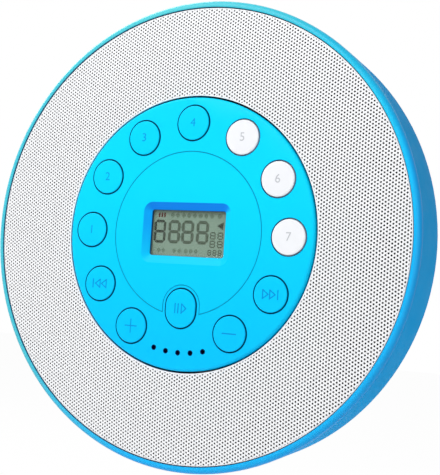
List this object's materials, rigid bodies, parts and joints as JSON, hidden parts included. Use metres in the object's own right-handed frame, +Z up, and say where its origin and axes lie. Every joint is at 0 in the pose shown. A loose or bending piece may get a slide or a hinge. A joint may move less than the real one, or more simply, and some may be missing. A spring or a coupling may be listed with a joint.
{
  "type": "cd boombox",
  "caption": "Round wall-hung CD boombox: central control lid with display and a ring of keys over a disc deck, inside a dished perforated speaker grille.",
  "frame": {"origin": "centre of the wall plane behind the player", "axes": "+X to the right and +Z up as one faces it, +Y into the wall; the front faces -Y"},
  "size_m": [0.25, 0.043, 0.25],
  "materials": {
    "panel_cyan": "gloss",
    "bezel_blue": "gloss",
    "case_blue": "satin",
    "key_blue": "gloss",
    "key_white": "gloss",
    "grille_white": "satin",
    "deck_grey": "matte",
    "black_plastic": "matte",
    "rubber_grey": "matte",
    "screw_steel": "satin",
    "bright_steel": "satin",
    "black_steel": "satin",
    "magnet_steel": "satin",
    "cone_black": "matte",
    "board_green": "satin",
    "battery_foil": "satin",
    "clear_window": "gloss",
    "lcd_grey": "satin",
    "lens_glass": "polished"
  },
  "bodies": {
    "case": {"front_frame": "bezel_blue", "speaker_grille": "grille_white", "rear_shell": "case_blue", "wall_pads": "rubber_grey", "case_screws": "screw_steel", "disc_deck": "deck_grey", "deck_screws": "screw_steel", "hinge_pins": "bright_steel", "latch_body": "black_plastic", "left_speaker_basket": "black_steel", "right_speaker_basket": "black_steel", "left_speaker_magnet": "magnet_steel", "right_speaker_magnet": "magnet_steel", "left_speaker_cone": "cone_black", "right_speaker_cone": "cone_black", "main_board": "board_green", "main_board_screws": "screw_steel", "headphone_socket": "black_plastic", "usb_socket": "bright_steel", "charging_socket": "bright_steel", "card_socket": "bright_steel", "power_switch": "bright_steel", "battery_pack": "battery_foil", "traverse_chassis": "bright_steel", "traverse_dampers": "rubber_grey", "damper_screws": "screw_steel", "spindle_motor": "bright_steel", "sled_rails": "bright_steel", "sled_motor": "bright_steel"},
    "lid": {"control_panel": "panel_cyan", "display_plate": "panel_cyan", "display_window": "clear_window", "display_module": "lcd_grey", "key_board": "board_green", "key_switches": "black_plastic", "board_screws": "screw_steel", "microphone": "bright_steel", "lid_back": "deck_grey", "lid_screws": "screw_steel"},
    "turntable": {"turntable": "black_plastic", "chuck_balls": "bright_steel", "spindle_shaft": "bright_steel"},
    "sled": {"pickup_sled": "black_plastic", "pickup_lens": "lens_glass"},
    "lead_screw": {"lead_screw": "bright_steel"},
    "power_slider": {"power_slider": "black_plastic"},
    "latch_plunger": {"latch_plunger": "bright_steel"},
    "blue_key_12": {"blue_key_12": "key_blue"},
    "white_key_1": {"white_key_1": "key_white"},
    "white_key_2": {"white_key_2": "key_white"},
    "white_key_3": {"white_key_3": "key_white"},
    "next_key": {"next_key": "key_blue"},
    "quieter_key": {"quieter_key": "key_blue"},
    "play_key": {"play_key": "key_blue"},
    "louder_key": {"louder_key": "key_blue"},
    "previous_key": {"previous_key": "key_blue"},
    "blue_key_9": {"blue_key_9": "key_blue"},
    "blue_key_10": {"blue_key_10": "key_blue"},
    "blue_key_11": {"blue_key_11": "key_blue"}
  },
  "joints": [
    {"name": "lid_hinge", "type": "hinge", "parent": "case", "child": "lid", "pos_m": [0, -0.0402, 0.0676], "axis": [-1, 0, 0], "range_deg": [0, 60]},
    {"name": "blue_key_12_press", "type": "slide", "parent": "lid", "child": "blue_key_12", "axis": [0, 1, 0], "range_m": [0, 0.0008], "stiffness_N_per_m": 1500, "springref_m": -0.0002},
    {"name": "white_key_1_press", "type": "slide", "parent": "lid", "child": "white_key_1", "axis": [0, 1, 0], "range_m": [0, 0.0008], "stiffness_N_per_m": 1500, "springref_m": -0.0002},
    {"name": "white_key_2_press", "type": "slide", "parent": "lid", "child": "white_key_2", "axis": [0, 1, 0], "range_m": [0, 0.0008], "stiffness_N_per_m": 1500, "springref_m": -0.0002},
    {"name": "white_key_3_press", "type": "slide", "parent": "lid", "child": "white_key_3", "axis": [0, 1, 0], "range_m": [0, 0.0008], "stiffness_N_per_m": 1500, "springref_m": -0.0002},
    {"name": "next_key_press", "type": "slide", "parent": "lid", "child": "next_key", "axis": [0, 1, 0], "range_m": [0, 0.0008], "stiffness_N_per_m": 1500, "springref_m": -0.0002},
    {"name": "quieter_key_press", "type": "slide", "parent": "lid", "child": "quieter_key", "axis": [0, 1, 0], "range_m": [0, 0.0008], "stiffness_N_per_m": 1500, "springref_m": -0.0002},
    {"name": "play_key_press", "type": "slide", "parent": "lid", "child": "play_key", "axis": [0, 1, 0], "range_m": [0, 0.0008], "stiffness_N_per_m": 1500, "springref_m": -0.0002},
    {"name": "louder_key_press", "type": "slide", "parent": "lid", "child": "louder_key", "axis": [0, 1, 0], "range_m": [0, 0.0008], "stiffness_N_per_m": 1500, "springref_m": -0.0002},
    {"name": "previous_key_press", "type": "slide", "parent": "lid", "child": "previous_key", "axis": [0, 1, 0], "range_m": [0, 0.0008], "stiffness_N_per_m": 1500, "springref_m": -0.0002},
    {"name": "blue_key_9_press", "type": "slide", "parent": "lid", "child": "blue_key_9", "axis": [0, 1, 0], "range_m": [0, 0.0008], "stiffness_N_per_m": 1500, "springref_m": -0.0002},
    {"name": "blue_key_10_press", "type": "slide", "parent": "lid", "child": "blue_key_10", "axis": [0, 1, 0], "range_m": [0, 0.0008], "stiffness_N_per_m": 1500, "springref_m": -0.0002},
    {"name": "blue_key_11_press", "type": "slide", "parent": "lid", "child": "blue_key_11", "axis": [0, 1, 0], "range_m": [0, 0.0008], "stiffness_N_per_m": 1500, "springref_m": -0.0002},
    {"name": "turntable_spin", "type": "hinge", "parent": "case", "child": "turntable", "pos_m": [0, -0.025, 0], "axis": [0, 1, 0], "continuous": true},
    {"name": "sled_slide", "type": "slide", "parent": "case", "child": "sled", "axis": [1, 0, 0], "range_m": [0, 0.034]},
    {"name": "screw_turn", "type": "hinge", "parent": "case", "child": "lead_screw", "pos_m": [0.03, -0.0126, -0.024], "axis": [-1, 0, 0], "range_deg": [0, 4090]},
    {"name": "power_slide", "type": "slide", "parent": "case", "child": "power_slider", "axis": [0, 0, 1], "range_m": [0, 0.003]},
    {"name": "latch_slide", "type": "slide", "parent": "case", "child": "latch_plunger", "axis": [0, -1, 0], "range_m": [0, 0.003]}
  ],
  "couplings": [
    {"joint": "screw_turn", "follows": "sled_slide", "rad_per_m": 2094.4},
    {"joint": "latch_slide", "follows": "lid_hinge", "m_per_rad": 0.0028}
  ]
}
